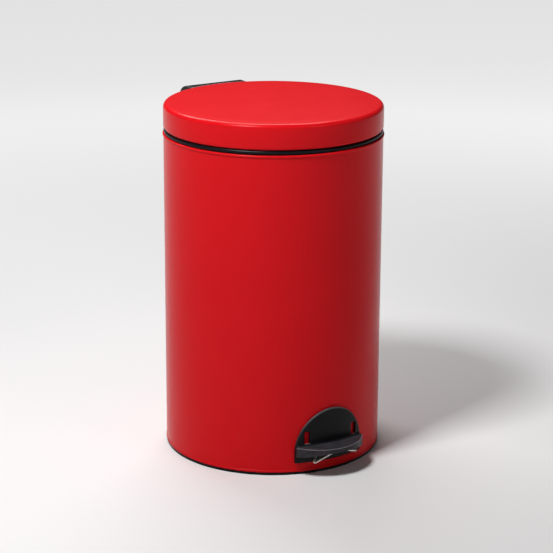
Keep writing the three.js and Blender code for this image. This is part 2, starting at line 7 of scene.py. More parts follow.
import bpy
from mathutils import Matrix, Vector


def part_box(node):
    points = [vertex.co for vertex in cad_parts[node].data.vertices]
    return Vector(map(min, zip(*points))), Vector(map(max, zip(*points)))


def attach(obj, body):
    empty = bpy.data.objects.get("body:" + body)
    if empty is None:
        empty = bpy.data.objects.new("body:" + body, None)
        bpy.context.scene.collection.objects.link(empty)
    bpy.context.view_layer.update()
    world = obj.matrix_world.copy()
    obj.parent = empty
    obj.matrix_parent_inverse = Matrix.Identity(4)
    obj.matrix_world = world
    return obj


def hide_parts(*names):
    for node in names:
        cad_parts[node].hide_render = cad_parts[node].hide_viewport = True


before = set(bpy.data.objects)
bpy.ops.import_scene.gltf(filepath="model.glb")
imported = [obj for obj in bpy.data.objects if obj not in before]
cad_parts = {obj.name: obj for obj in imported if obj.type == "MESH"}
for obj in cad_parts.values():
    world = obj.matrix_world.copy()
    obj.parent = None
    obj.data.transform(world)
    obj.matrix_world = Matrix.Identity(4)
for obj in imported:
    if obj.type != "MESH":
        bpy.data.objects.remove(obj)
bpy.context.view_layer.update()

# %% [markdown]
# ## Tools
# Outlines are written in millimetres, as a maker's drawing is, and turned to metres once, when a mesh is
# begun. Most of the can is round, so most pieces are an outline spun round the upright axis.

# %% Millimetres and outlines
import math

import bmesh
import bpy
from mathutils import Matrix, Vector
from mathutils.geometry import interpolate_bezier

MM = 0.001
FINE_TURN = 240  # faces round the large round pieces
SMALL_TURN = 32  # faces round screws, rivets and bosses
CLEARANCE = 0.3  # between a hole and what runs through it
SIDES = ((-1, "left"), (1, "right"))


def span(node):
    """Lowest and highest corners of a CAD node, in millimetres to the nearest hundredth."""
    return [Vector(round(value / MM, 2) for value in corner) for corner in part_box(node)]


def arc(centre, radius, start, end, steps=8):
    """Points on a circular arc, with the angles in degrees."""
    turns = [math.radians(start + (end - start) * i / steps) for i in range(steps + 1)]
    return [(centre[0] + radius * math.cos(t), centre[1] + radius * math.sin(t)) for t in turns]


print("shell from", *(tuple(round(v, 1) for v in corner) for corner in span("body_shell")))


# %% Starting meshes
def outward(bm):
    """Merges doubles and turns every face outwards."""
    bmesh.ops.remove_doubles(bm, verts=bm.verts, dist=0.001 * MM)
    bmesh.ops.recalc_face_normals(bm, faces=bm.faces)
    if bm.calc_volume(signed=True) < 0:
        bmesh.ops.reverse_faces(bm, faces=bm.faces)
    return bm


def spun(outline, steps=FINE_TURN, sweep=360.0, start=0.0):
    """An outline of (radius, height) points turned round Z. It ends on the axis, or it closes on itself."""
    bm = bmesh.new()
    verts = [bm.verts.new((r * MM, 0, z * MM)) for r, z in outline]
    pairs = list(zip(verts, verts[1:]))
    if outline[0][0] > 0:
        pairs.append((verts[-1], verts[0]))
    edges = [bm.edges.new(pair) for pair in pairs]
    whole = sweep == 360.0
    if not whole:
        bmesh.ops.contextual_create(bm, geom=edges)
    bmesh.ops.rotate(bm, verts=bm.verts, cent=(0, 0, 0), matrix=Matrix.Rotation(math.radians(start), 3, "Z"))
    geometry = bm.verts[:] + bm.edges[:] + bm.faces[:]
    bmesh.ops.spin(bm, geom=geometry, cent=(0, 0, 0), axis=(0, 0, 1), angle=math.radians(sweep),
                   steps=steps, use_merge=whole, use_duplicate=False)
    return outward(bm)


def pushed(outline, low, high, plane="XY"):
    """A flat outline pushed along the third axis from low to high."""
    across = {"XY": ((1, 0, 0), (0, 1, 0), (0, 0, 1)),
              "XZ": ((1, 0, 0), (0, 0, 1), (0, 1, 0)),
              "YZ": ((0, 1, 0), (0, 0, 1), (1, 0, 0))}[plane]
    side, rise, along = (Vector(axis) for axis in across)
    bm = bmesh.new()
    corners = [bm.verts.new((side * u + rise * v + along * low) * MM) for u, v in outline]
    moved = bmesh.ops.extrude_face_region(bm, geom=[bm.faces.new(corners)])["geom"]
    verts = [v for v in moved if isinstance(v, bmesh.types.BMVert)]
    bmesh.ops.translate(bm, verts=verts, vec=along * (high - low) * MM)
    return outward(bm)


def block(low, high):
    """A box between two corners, in millimetres."""
    corners = [(low[0], low[1]), (high[0], low[1]), (high[0], high[1]), (low[0], high[1])]
    return pushed(corners, low[2], high[2])


def turned(outline, start, direction, steps=SMALL_TURN):
    """A small turned part: an outline of (radius, distance) spun on an axis from a start point."""
    bm = spun(outline, steps)
    turn = Vector((0, 0, 1)).rotation_difference(Vector(direction)).to_matrix()
    bmesh.ops.rotate(bm, verts=bm.verts, cent=(0, 0, 0), matrix=turn)
    bmesh.ops.translate(bm, verts=bm.verts, vec=Vector(start) * MM)
    return bm


def rod(radius, start, end, steps=SMALL_TURN):
    """A plain round bar between two points. It serves as a drill too."""
    run = Vector(end) - Vector(start)
    return turned([(0, 0), (radius, 0), (radius, run.length), (0, run.length)], start, run, steps)


def bevelled(bm, width, segments=2, sharper_than=30):
    """Rounds every edge that turns more than an angle."""
    limit = math.radians(sharper_than)
    edges = [e for e in bm.edges if e.is_manifold and e.calc_face_angle(0) > limit]
    bmesh.ops.bevel(bm, geom=edges, offset=width * MM, offset_type="OFFSET", affect="EDGES",
                    segments=segments, profile=0.5, material=-1, clamp_overlap=True)
    return bm


# %% [markdown]
# Wires are one section carried along a path. Each bend of a real wire is an arc round a pin of the bending
# jig, so the corners of the path are rounded by a short Bezier arc.

# %% Wires
def rounded_path(corners, round_length, steps=6):
    """The corner points with each corner replaced by a smooth bend."""
    points = [Vector(corners[0])]
    for before, corner, after in zip(corners, corners[1:], corners[2:]):
        corner = Vector(corner)
        start = corner + (Vector(before) - corner).normalized() * round_length
        end = corner + (Vector(after) - corner).normalized() * round_length
        points += interpolate_bezier(start, start.lerp(corner, 0.55), end.lerp(corner, 0.55), end, steps)
    return points + [Vector(corners[-1])]


def wire(points, radius):
    """A round bar along the points, with its ends closed."""
    curve = bpy.data.curves.new("wire", "CURVE")
    curve.dimensions = "3D"
    curve.bevel_depth = radius * MM
    curve.bevel_resolution = 5
    curve.use_fill_caps = True
    spline = curve.splines.new("POLY")
    spline.points.add(len(points) - 1)
    for spot, point in zip(spline.points, points):
        spot.co = (*(Vector(point) * MM), 1)
    carrier = bpy.data.objects.new("wire", curve)
    bpy.context.scene.collection.objects.link(carrier)
    shaped = carrier.evaluated_get(bpy.context.evaluated_depsgraph_get())
    bm = bmesh.new()
    bm.from_mesh(bpy.data.meshes.new_from_object(shaped))
    bpy.data.objects.remove(carrier)
    return outward(bm)


# %% [markdown]
# Booleans and a voxel remesh do what a mould does: several plain volumes become one body whose every edge
# has a small radius. The remesh walks over the whole surface in even steps, and a few rounds of smoothing
# then soften the corners.

# %% Joining, cutting and moulding
def as_object(name, bm):
    mesh = bpy.data.meshes.new(name)
    bm.to_mesh(mesh)
    bm.free()
    made = bpy.data.objects.new(name, mesh)
    bpy.context.scene.collection.objects.link(made)
    return made


def evaluated(made):
    """The object's mesh with its modifiers applied, as a bmesh. The object itself is removed."""
    bpy.context.view_layer.update()
    mesh = bpy.data.meshes.new_from_object(made.evaluated_get(bpy.context.evaluated_depsgraph_get()))
    bpy.data.objects.remove(made)
    bm = bmesh.new()
    bm.from_mesh(mesh)
    return bm


def combined(operation, first, *others):
    """UNION, DIFFERENCE or INTERSECT of closed meshes."""
    base = as_object("base", first)
    tools = [as_object("tool", other) for other in others]
    for tool in tools:
        change = base.modifiers.new("boolean", "BOOLEAN")
        change.operation = operation
        change.solver = "EXACT"
        change.object = tool
    result = evaluated(base)
    for tool in tools:
        bpy.data.objects.remove(tool)
    return result


def moulded(bm, voxel, rounds=4):
    """Remeshes a closed body in even steps and softens its edges, as a mould does."""
    base = as_object("base", bm)
    even = base.modifiers.new("even", "REMESH")
    even.mode = "VOXEL"
    even.voxel_size = voxel * MM
    soft = base.modifiers.new("soft", "SMOOTH")
    soft.factor = 0.5
    soft.iterations = rounds
    return outward(evaluated(base))


# %% Finished pieces
def piece(name, bm, material, body, slot, *nodes, sharp=38):
    """Makes the mesh a piece of the can: smooth but for its sharp edges, riding on a body."""
    for face in bm.faces:
        face.smooth = True
    for edge in bm.edges:
        edge.smooth = edge.calc_face_angle(0) < math.radians(sharp)
    made = as_object(name, bm)
    made.data.materials.append(material)
    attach(made, body)
    if nodes:
        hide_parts(*nodes)
    print(f"{name}: {len(made.data.polygons)} faces")
    return made


# %% [markdown]
# ## Finishes
# Each finish is a small node tree on the piece's own object coordinates. One helper adds a node, sets it
# and links what feeds it.

# %% Node helper and colours
def linear(text):
    """An sRGB hex colour as linear RGBA."""
    parts = [int(text[i:i + 2], 16) / 255 for i in (1, 3, 5)]
    return (*(c / 12.92 if c <= 0.04045 else ((c + 0.055) / 1.055) ** 2.4 for c in parts), 1.0)


def add(tree, kind, feeds=None, **settings):
    """Adds one node, with its settings and what feeds its inputs: a value or another node's output."""
    made = tree.nodes.new(kind)
    for key, value in settings.items():
        setattr(made, key, value)
    for key, value in (feeds or {}).items():
        if isinstance(value, bpy.types.NodeSocket):
            tree.links.new(value, made.inputs[key])
        else:
            made.inputs[key].default_value = value
    return made


def started(name):
    """A new material with an empty tree, and its object coordinates."""
    material = bpy.data.materials.new(name)
    material.use_nodes = True
    tree = material.node_tree
    tree.nodes.clear()
    return material, tree, add(tree, "ShaderNodeTexCoord").outputs["Object"]


def surfaced(material, tree, shader):
    """Ends a material's tree with its shader, and returns the material."""
    surface = add(tree, "ShaderNodeBsdfPrincipled", shader)
    add(tree, "ShaderNodeOutputMaterial", {"Surface": surface.outputs[0]})
    return material


def per_metre(size_mm):
    """The scale of a pattern whose features are size_mm apart."""
    return 1 / (size_mm * MM)


# %% [markdown]
# **Red powder coat.** Polyester powder baked on sheet steel: an even saturated red with a satin gloss. Up
# close it has orange peel, low swells 2 or 3 mm apart, drawn here 6 mm apart so that they show, and the
# film varies a little in tone. A real coat's specular level is about 0.5. Here it is 0.07, because the can
# stands on a bright floor, whose mirror image would wash out its sides. In other light it can be raised.

# %% Red powder coat
FILM_SIZE, PEEL_SIZE = 60, 6  # patterns, in millimetres


def powder_coat():
    material, tree, place = started("red_powder_coat")
    tone = add(tree, "ShaderNodeTexNoise",
               {"Vector": place, "Scale": per_metre(FILM_SIZE), "Detail": 3.0}).outputs[0]
    peel = add(tree, "ShaderNodeTexNoise",
               {"Vector": place, "Scale": per_metre(PEEL_SIZE), "Detail": 0.0}).outputs[0]
    colour = add(tree, "ShaderNodeMix",
                 {0: tone, 6: linear("#CB1018"), 7: linear("#D2131B")}, data_type="RGBA")
    gloss = add(tree, "ShaderNodeMapRange", {"Value": tone, "To Min": 0.23, "To Max": 0.28})
    bump = add(tree, "ShaderNodeBump", {"Strength": 0.25, "Distance": 0.05 * MM, "Height": peel})
    return surfaced(material, tree, {"Base Color": colour.outputs[2], "Roughness": gloss.outputs[0],
                                     "Normal": bump.outputs[0], "Specular IOR Level": 0.07})


red_coat = powder_coat()
print("made", red_coat.name)

# %% [markdown]
# ** Black moulded plastic.** Polypropylene from a lightly spark-eroded mould: nearly black, half dull, with
# a fine even grain that breaks up the highlights. The grain is under a millimetre, drawn here at 2.5 mm so
# that it shows. The upper edges of the pedal and handle carry a painted highlight: their colour turns a
# lighter grey where light would catch them, while the two rings stay plain. The tread is scuffed all over,
# in streaks along its width: it is what stands further from the can's axis than the shield does, so that
# distance picks it out. The specular level is held down to 0.12 for the same reason as the red coat's.

# %% Black moulded plastic
GRAIN_SIZE, FLOW_SIZE, STREAK_SIZE = 2.5, 35, 5
SCUFFED_FROM, SCUFFED_BY = 152 * MM, 154 * MM  # distances from the can's axis


def moulded_plastic(name, edge_highlight, scuffing):
    material, tree, place = started(name)
    grain = add(tree, "ShaderNodeTexNoise",
                {"Vector": place, "Scale": per_metre(GRAIN_SIZE), "Detail": 1.0}).outputs[0]
    flow = add(tree, "ShaderNodeTexNoise",
               {"Vector": place, "Scale": per_metre(FLOW_SIZE), "Detail": 2.0}).outputs[0]
    # Painted highlight: convex edges that face upward are mixed towards a lighter grey, standing in for
    # light catching them.
    normal = add(tree, "ShaderNodeTexCoord").outputs["Normal"]
    upward = add(tree, "ShaderNodeSeparateXYZ", {0: normal}).outputs["Z"]
    upward_highlight = add(tree, "ShaderNodeMapRange",
                 {"Value": upward, "From Min": 0.1, "From Max": 0.6, "To Max": edge_highlight})
    edges = add(tree, "ShaderNodeNewGeometry").outputs["Pointiness"]
    convex = add(tree, "ShaderNodeMapRange", {"Value": edges, "From Min": 0.505, "From Max": 0.56})
    highlight_mask = add(tree, "ShaderNodeMath",
               {0: convex.outputs[0], 1: upward_highlight.outputs[0]}, operation="MULTIPLY").outputs[0]
    plain = add(tree, "ShaderNodeMix",
                {0: flow, 6: linear("#0E0E11"), 7: linear("#151518")}, data_type="RGBA")
    flat = add(tree, "ShaderNodeVectorMath",
               {0: place, 1: (1, 1, 0)}, operation="MULTIPLY").outputs["Vector"]
    away = add(tree, "ShaderNodeVectorMath", {0: flat}, operation="LENGTH").outputs["Value"]
    tread = add(tree, "ShaderNodeMapRange",
                {"Value": away, "From Min": SCUFFED_FROM, "From Max": SCUFFED_BY,
                                             "To Max": scuffing}).outputs[0]
    stretched = add(tree, "ShaderNodeVectorMath",
                    {0: place, 1: (0.25, 1, 1)}, operation="MULTIPLY").outputs["Vector"]
    streaks = add(tree, "ShaderNodeTexNoise",
                  {"Vector": stretched, "Scale": per_metre(STREAK_SIZE), "Detail": 2.0}).outputs[0]
    scuffs = add(tree, "ShaderNodeMath", {0: tread, 1: streaks}, operation="MULTIPLY").outputs[0]
    used = add(tree, "ShaderNodeMix",
               {0: scuffs, 6: plain.outputs[2], 7: linear("#48454A")}, data_type="RGBA")
    # The lighter grey #8C888C is the colour of the painted edge highlight.
    colour = add(tree, "ShaderNodeMix",
                 {0: highlight_mask, 6: used.outputs[2], 7: linear("#8C888C")}, data_type="RGBA")
    gloss = add(tree, "ShaderNodeMapRange", {"Value": flow, "To Min": 0.28, "To Max": 0.36})
    bump = add(tree, "ShaderNodeBump", {"Strength": 0.15, "Distance": 0.04 * MM, "Height": grain})
    return surfaced(material, tree, {"Base Color": colour.outputs[2], "Roughness": gloss.outputs[0],
                                     "Normal": bump.outputs[0], "Specular IOR Level": 0.12})


black_plastic = moulded_plastic("black_moulded_polypropylene", 0.0, 0.0)
# This finish has a painted highlight on its upper edges and no scuffing.
edge_highlit_plastic = moulded_plastic("edge_highlit_black_polypropylene", 1.0, 0.0)
# This finish has a scuffed tread and a painted highlight on its upper edges.
scuffed_and_highlit_plastic = moulded_plastic("scuffed_and_edge_highlit_black_polypropylene", 1.0, 1.0)
print("made", black_plastic.name, "and", edge_highlit_plastic.name, "and", scuffed_and_highlit_plastic.name)

# %% [markdown]
# **Galvanised sheet.** Zinc freezes on the hot sheet in crystals about 8 mm across, the spangle. Each
# crystal has its own grey and its own gloss, so a Voronoi cell gives both. Fully metallic, it only mirrors
# this dim studio and the inside of the bucket turns nearly black. At 0.6 part of the light is scattered,
# which stands in for the pale oxide film. In a bright room it can go back to 1.

# %% Galvanised sheet
SPANGLE_SIZE, WANDER_SIZE = 8, 6


def galvanised_sheet():
    material, tree, place = started("galvanised_sheet")
    wander = add(tree, "ShaderNodeTexNoise",
                 {"Vector": place, "Scale": per_metre(WANDER_SIZE), "Detail": 2.0}).outputs["Color"]
    bent = add(tree, "ShaderNodeMix", {0: 0.004, 4: place, 5: wander}, data_type="VECTOR").outputs[1]
    spangle = add(tree, "ShaderNodeTexVoronoi",
                  {"Vector": bent, "Scale": per_metre(SPANGLE_SIZE)}).outputs["Color"]
    shade = add(tree, "ShaderNodeSeparateColor", {0: spangle}).outputs
    colour = add(tree, "ShaderNodeMix",
                 {0: shade[0], 6: linear("#8E9498"), 7: linear("#BFC5C8")}, data_type="RGBA")
    gloss = add(tree, "ShaderNodeMapRange", {"Value": shade[1], "To Min": 0.34, "To Max": 0.52})
    return surfaced(material, tree, {"Base Color": colour.outputs[2], "Roughness": gloss.outputs[0],
                                     "Metallic": 0.6})


galvanised = galvanised_sheet()
print("made", galvanised.name)

# %% [markdown]
# **Zinc plated steel.** Drawn wire, screws and rivets with a thin bright plating: a warm light grey metal
# with fine mottling where the plating is thicker.

# %% Zinc plated steel
MOTTLE_SIZE = 3


def zinc_plate():
    material, tree, place = started("zinc_plated_steel")
    mottle = add(tree, "ShaderNodeTexNoise",
                 {"Vector": place, "Scale": per_metre(MOTTLE_SIZE), "Detail": 4.0}).outputs[0]
    colour = add(tree, "ShaderNodeMix",
                 {0: mottle, 6: linear("#B9B2A8"), 7: linear("#D8D2C8")}, data_type="RGBA")
    gloss = add(tree, "ShaderNodeMapRange", {"Value": mottle, "To Min": 0.22, "To Max": 0.34})
    return surfaced(material, tree, {"Base Color": colour.outputs[2], "Roughness": gloss.outputs[0],
                                     "Metallic": 1.0})


zinc = zinc_plate()
print("made", zinc.name)

# %% [markdown]
# **Black rubber.** The lid buffers are plain nitrile rubber: black, dull and slightly dusty.

# %% Black rubber
DUST_SIZE = 1.5


def nitrile_rubber():
    material, tree, place = started("black_nitrile_rubber")
    dust = add(tree, "ShaderNodeTexNoise",
               {"Vector": place, "Scale": per_metre(DUST_SIZE), "Detail": 4.0}).outputs[0]
    colour = add(tree, "ShaderNodeMix",
                 {0: dust, 6: linear("#141414"), 7: linear("#232322")}, data_type="RGBA")
    gloss = add(tree, "ShaderNodeMapRange", {"Value": dust, "To Min": 0.72, "To Max": 0.9})
    return surfaced(material, tree, {"Base Color": colour.outputs[2], "Roughness": gloss.outputs[0],
                                     "Specular IOR Level": 0.3})


rubber = nitrile_rubber()
print("made", rubber.name)

# %% [markdown]
# ## Camera
# The can is seen from a little above eye level for such a low thing, through a long lens from 2.6 m away,
# with the pedal turned 32 degrees to the right. The distances are in lid radii.

# %% Camera
lid_low, lid_high = span("lid_shell")
lid_radius = lid_high.x

VIEW_TURN = math.radians(-32.0)
VIEW_PITCH = math.radians(16.756)
VIEW_ROLL = math.radians(0.294)
VIEW_BACK, VIEW_SIDE, VIEW_UP = 17.650, 0.0346, 6.889

camera = bpy.data.objects.new("camera", bpy.data.cameras.new("camera"))
bpy.context.scene.collection.objects.link(camera)
bpy.context.scene.camera = camera
camera.data.sensor_width = 36
camera.data.lens = 129.32
ahead = Vector((-math.sin(VIEW_TURN), math.cos(VIEW_TURN), 0))
aside = Vector((math.cos(VIEW_TURN), math.sin(VIEW_TURN), 0))
camera.location = (aside * VIEW_SIDE - ahead * VIEW_BACK + Vector((0, 0, VIEW_UP))) * lid_radius * MM
level = Matrix.Rotation(VIEW_TURN, 4, "Z") @ Matrix.Rotation(math.pi / 2 - VIEW_PITCH, 4, "X")
camera.rotation_euler = (level @ Matrix.Rotation(VIEW_ROLL, 4, "Z")).to_euler()
print("camera at", tuple(round(v, 3) for v in camera.location))

# %% [markdown]
# ## Lid and shell
# Both are deep drawn and rolled from sheet, so they have one wall thickness everywhere, and every edge is
# turned over: the lid's rim curls inwards and the shell's top is rolled into a bead, so nobody is cut.

# %% Lid
SHEET = 0.6
LID_CORNER = 6.0
LID_CURL = 3.0
CROWN = 0.6
CURL_TURN = -144  # how far the curl goes round, in degrees
LINK_HALF = 7  # half of the gap left for the crank in the lid and the rim ring
NOTCH_RISE = 7.7


def lid_pressing():
    radius, top, bottom = lid_radius, lid_high.z, lid_low.z
    flat = radius - LID_CORNER
    crown = [(flat * i / 6, top - CROWN * (i / 6) ** 2) for i in range(6)]
    under = [(r, z - SHEET) for r, z in reversed(crown)]
    bend = (flat, top - CROWN - LID_CORNER)
    curl = (radius - LID_CURL, bottom + LID_CURL)
    outline = crown + arc(bend, LID_CORNER, 90, 0, 8) + arc(curl, LID_CURL, 0, CURL_TURN, 10)
    outline += arc(curl, LID_CURL - SHEET, CURL_TURN, 0, 10) + arc(bend, LID_CORNER - SHEET, 0, 90, 8)
    notch = block((-LINK_HALF, 130, bottom - 1), (LINK_HALF, 150, bottom + NOTCH_RISE))
    return combined("DIFFERENCE", spun(outline + under), notch)


piece("painted_lid", lid_pressing(), red_coat, "lid", "red_paint", "lid_shell")

# %% Shell
shell_low, shell_high = span("body_shell")
BEAD = 1.9
shell_radius = shell_high.x - 1.3
shell_inside = shell_radius - SHEET
tread_low, tread_high = span("pedal")
LEVER_X = 27
LEVER_SLOT_HALF, LEVER_SLOT_TOP = 3.5, 34.2


def shell_sheet():
    bottom, top = shell_low.z, shell_high.z
    bead = (shell_inside, top - BEAD)
    hem = shell_radius + 0.5
    outline = [(shell_inside, bottom + 0.5), (shell_inside + 0.3, bottom), (hem - 0.3, bottom)]
    outline += arc((hem - 0.6, bottom + 1.2), 0.6, -40, 40, 3)
    outline += [(hem, bottom + 2.6), (shell_radius, bottom + 3.0)]
    outline += arc(bead, BEAD, -68, 130, 12) + [(shell_inside, top - 0.9)]
    sheet = spun(outline)
    slots = [block((side * LEVER_X - LEVER_SLOT_HALF, -160, tread_low.z - 0.6),
                   (side * LEVER_X + LEVER_SLOT_HALF, -130, LEVER_SLOT_TOP)) for side, hand in SIDES]
    return combined("DIFFERENCE", sheet, *slots)


piece("painted_shell", shell_sheet(), red_coat, "body", "red_paint", "body_shell")


# %% [markdown]
# Two tabs are cut from the shell and bent straight out. They stand in the pedal's slots and guide it. A
# ridge pressed above each one keeps the shield from scraping the paint.

# %% Guide tabs and ridges
SLOT_X = 36.4
TAB = (4, 150, 27.8, 45.2)  # width, reach from the axis, low end, high end
RIDGE = (3, 147.4, 45.4, 74)


def guide(width, reach, low, high):
    """An upright bar of sheet that stands out of the shell at the slot's place."""
    face = -math.sqrt(reach ** 2 - SLOT_X ** 2)
    root = -math.sqrt(shell_radius ** 2 - SLOT_X ** 2)
    return bevelled(block((SLOT_X - width / 2, face, low), (SLOT_X + width / 2, root + 0.2, high)), 0.7, 3)


for side, hand in SIDES:
    for part, size in (("tab", TAB), ("ridge", RIDGE)):
        bar = guide(*size)
        if side < 0:
            bmesh.ops.scale(bar, vec=(-1, 1, 1), verts=bar.verts)
        piece(f"guide_{part}_{hand}", outward(bar), red_coat, "body", "red_paint")

# %% [markdown]
# ## Black trims
# The ring under the lid is one extrusion-like moulding: a rounded band that shows, a collar that plugs the
# shell, and an upright wall that keeps rags off the linkage.

# %% Rim ring
ring_high = span("rim_ring")[1]
RIM_INNER, RIM_WALL = 133.5, 3.0
COLLAR_INNER, COLLAR_DEPTH = 142.8, 11


def rim_moulding():
    outer, top = ring_high.x, ring_high.z
    seat, rest = lid_low.z - 0.8, shell_high.z + 0.3
    wall_outer = RIM_INNER + RIM_WALL
    collar_outer = shell_inside - 0.4
    middle = (seat + rest) / 2
    bulge = (seat - rest) / 2
    outline = [(RIM_INNER, seat - 3)] + arc((RIM_INNER + 1, top - 1), 1, 180, 90, 4)
    outline += arc((wall_outer - 1, top - 1), 1, 90, 0, 4)
    outline += [(wall_outer, seat)] + arc((outer - bulge, middle), bulge, 90, -90, 12)
    outline += [(collar_outer, rest), (collar_outer, rest - COLLAR_DEPTH)]
    outline += [(COLLAR_INNER, rest - COLLAR_DEPTH), (COLLAR_INNER, seat - 3)]
    gap = block((-LINK_HALF, 120, 400), (LINK_HALF, 150, 480))
    return combined("DIFFERENCE", spun(outline), gap)


piece("rim_moulding", rim_moulding(), black_plastic, "body", "black_plastic", "rim_ring")

# %% Foot ring
foot_high = span("foot_ring")[1]
FOOT_INNER = 140.5
FOOT_SHOWS = 3.7  # height of what stands out below the shell
FOOT_WALL = 2.1


def foot_moulding():
    outer, upstand = foot_high.x, shell_inside - 0.3
    outline = [(FOOT_INNER, 0.4), (FOOT_INNER + 0.4, 0)] + arc((outer - 0.8, 0.8), 0.8, -90, 0, 4)
    outline += [(outer, FOOT_SHOWS - 0.6), (outer - 0.4, FOOT_SHOWS), (upstand, FOOT_SHOWS)]
    outline += [(upstand, foot_high.z), (upstand - FOOT_WALL, foot_high.z)]
    outline += [(upstand - FOOT_WALL, 4), (FOOT_INNER, 2.5)]
    return spun(outline)


piece("foot_moulding", foot_moulding(), black_plastic, "body", "black_plastic", "foot_ring")

# %% [markdown]
# ## Pedal
# One moulding: a half-round shield that follows the shell, with two guide slots, and a tread that bows
# forward. The shield is drawn flat, chamfered, cut into narrow strips and bent round the shell.

# %% Pedal shield
SHIELD_OUTER = 151.4
SHIELD_INNER = 148.0
SHIELD_WAIST = 30
SLOT_HALF = 4
LEVER_MOUTH_HALF = 4.2
half = tread_high.x


def wrapped(bm, strip=2.0):
    """Bends a slab whose Y is its radius, so that it follows the shell. X stays as it is."""
    reach = int(half / strip) + 1
    for i in range(-reach, reach + 1):
        bmesh.ops.bisect_plane(bm, geom=bm.verts[:] + bm.edges[:] + bm.faces[:], dist=0.0001 * MM,
                               plane_co=(i * strip * MM, 0, 0), plane_no=(1, 0, 0))
    for vert in bm.verts:
        vert.co.y = -math.sqrt(vert.co.y ** 2 - vert.co.x ** 2)
    return bm


def shield_slab():
    top, bottom = tread_high.z, tread_low.z
    dome = [(half * math.cos(t), SHIELD_WAIST + (top - SHIELD_WAIST) * math.sin(t))
            for t in (math.pi * i / 48 for i in range(49))]
    slab = pushed([(-half, bottom), (half, bottom)] + dome, -SHIELD_OUTER, -SHIELD_INNER, "XZ")
    front = [e for e in slab.edges if all(abs(v.co.y + SHIELD_OUTER * MM) < 1e-6 for v in e.verts)]
    bmesh.ops.bevel(slab, geom=front, offset=1.1 * MM, offset_type="OFFSET", affect="EDGES", segments=1,
                    profile=0.5, material=-1)
    slots = [block((side * SLOT_X - SLOT_HALF, -170, 27), (side * SLOT_X + SLOT_HALF, -130, 60.6))
             for side, hand in SIDES]
    slots += [block((side * LEVER_X - LEVER_MOUTH_HALF, -170, 27.8),
                    (side * LEVER_X + LEVER_MOUTH_HALF, -130, 36.2)) for side, hand in SIDES]
    return wrapped(combined("DIFFERENCE", slab, *slots))


shield = shield_slab()
print("shield strips:", len(shield.faces), "faces")

# %% Pedal tread
TREAD_TOP = 41
TREAD_THICK = 2.8
LIP = 2.6
TREAD_ENDS = 4.7  # how far its ends stand out of the shield
SHOULDER = 3.0  # rounding of its upper corners
END_DROP, MIDDLE_DROP = 14, 6
FRONT = -tread_low.y
REAR_OF_TREAD = 126  # inside the shield, where the tread is cut off
COVE = 3  # radius of the hollow between tread and shield
COVE_SWEEP = 37


def bow(inset=0.0, rear=REAR_OF_TREAD, steps=48):
    """The tread's plan: an arc through its two ends and its foremost point, then back into the shield."""
    ends = math.sqrt(SHIELD_OUTER ** 2 - half ** 2) + TREAD_ENDS
    depth = FRONT - ends
    radius = (half ** 2 + depth ** 2) / (2 * depth)
    sweep = math.degrees(math.asin(half / radius))
    front = arc((0, radius - FRONT), radius - inset, -90 - sweep, -90 + sweep, steps)
    return [(-half + inset, -rear)] + front + [(half - inset, -rear)]


def tread_body():
    """A slab bowed in plan, hollowed from below to leave a lip, and arched along its lower edge."""
    low = TREAD_TOP - END_DROP
    slab = pushed(bow(), low, TREAD_TOP)
    hollow = pushed(bow(LIP, REAR_OF_TREAD - 6), low - 1, TREAD_TOP - TREAD_THICK)
    rise = END_DROP - MIDDLE_DROP
    arch = [(half * x / 24, low + rise * (1 - (x / 24) ** 2)) for x in range(-24, 25)]
    below = pushed([(-half - 5, low - 5)] + arch + [(half + 5, low - 5)], -200, -120, "XZ")
    root = rod(SHIELD_OUTER - 0.4, (0, 0, 0), (0, 0, 60), FINE_TURN)
    tread = combined("DIFFERENCE", slab, hollow, below, root)
    side, over = half - 0.05, TREAD_TOP + 0.05  # just off the tread's own planes, so the cut is clean
    face = [(-side, low - 5)] + arc((-side + SHOULDER, over - SHOULDER), SHOULDER, 180, 90)
    face += arc((side - SHOULDER, over - SHOULDER), SHOULDER, 90, 0) + [(side, low - 5)]
    return combined("INTERSECT", tread, pushed(face, -200, -120, "XZ"))


cove_outline = [(SHIELD_OUTER - 1, TREAD_TOP - 1), (SHIELD_OUTER - 1, TREAD_TOP + COVE)]
cove_outline += arc((SHIELD_OUTER + COVE, TREAD_TOP + COVE), COVE, 180, 270, 6)
cove_outline += [(SHIELD_OUTER + COVE, TREAD_TOP - 1)]
cove = spun(cove_outline, steps=24, sweep=COVE_SWEEP, start=-90 - COVE_SWEEP / 2)
pedal_body = moulded(combined("UNION", shield, tread_body(), cove), 0.6, 3)
# The pedal's finish has a scuffed tread and a painted highlight on its upper edges.
piece("pedal_moulding", pedal_body, scuffed_and_highlit_plastic, "pedal", "black_plastic", "pedal", sharp=180)

# %% [markdown]
# ## Hinge
# The hinge cover is a hollow quarter-round hood riveted to the back of the lid. The bracket is screwed to
# the shell and carries the pin in two ears, with a carrying handle below. Both are mouldings, so they are
# joined from plain volumes and then remeshed.

# %% Hinge sizes
cover_high = span("lid_hinge_cover")[1]
bracket_low, bracket_high = span("hinge_bracket")
pin_low, pin_high = span("hinge_pin")
PIN = Vector((0, (pin_low.y + pin_high.y) / 2, (pin_low.z + pin_high.z) / 2))
PIN_RADIUS = 2.5
COVER_SKIN, COVER_WALL = 2.6, 3.0
COVER_CORNER = 4.0
RIVET_ANGLES = (-11, 0, 11)
RIVET_HEIGHT = 462
print("hinge pin at", tuple(round(v, 1) for v in PIN))


def pin_bore():
    """The hole that the hinge pin runs through."""
    return rod(PIN_RADIUS + CLEARANCE, (-60, PIN.y, PIN.z), (60, PIN.y, PIN.z))


def outwards(degrees, radius, height):
    """A point on the rear wall, so many degrees off its middle."""
    turn = math.radians(90 - degrees)
    return Vector((radius * math.cos(turn), radius * math.sin(turn), height))


# %% Hinge cover
def hood(radius, side, front):
    """A bar whose section is a quarter circle about the pin, run forward to a flat front."""
    section = [(front, PIN.z)] + arc((PIN.y, PIN.z), radius, 0, 90, 24) + [(front, PIN.z + radius)]
    return pushed(section, -side, side, "YZ")


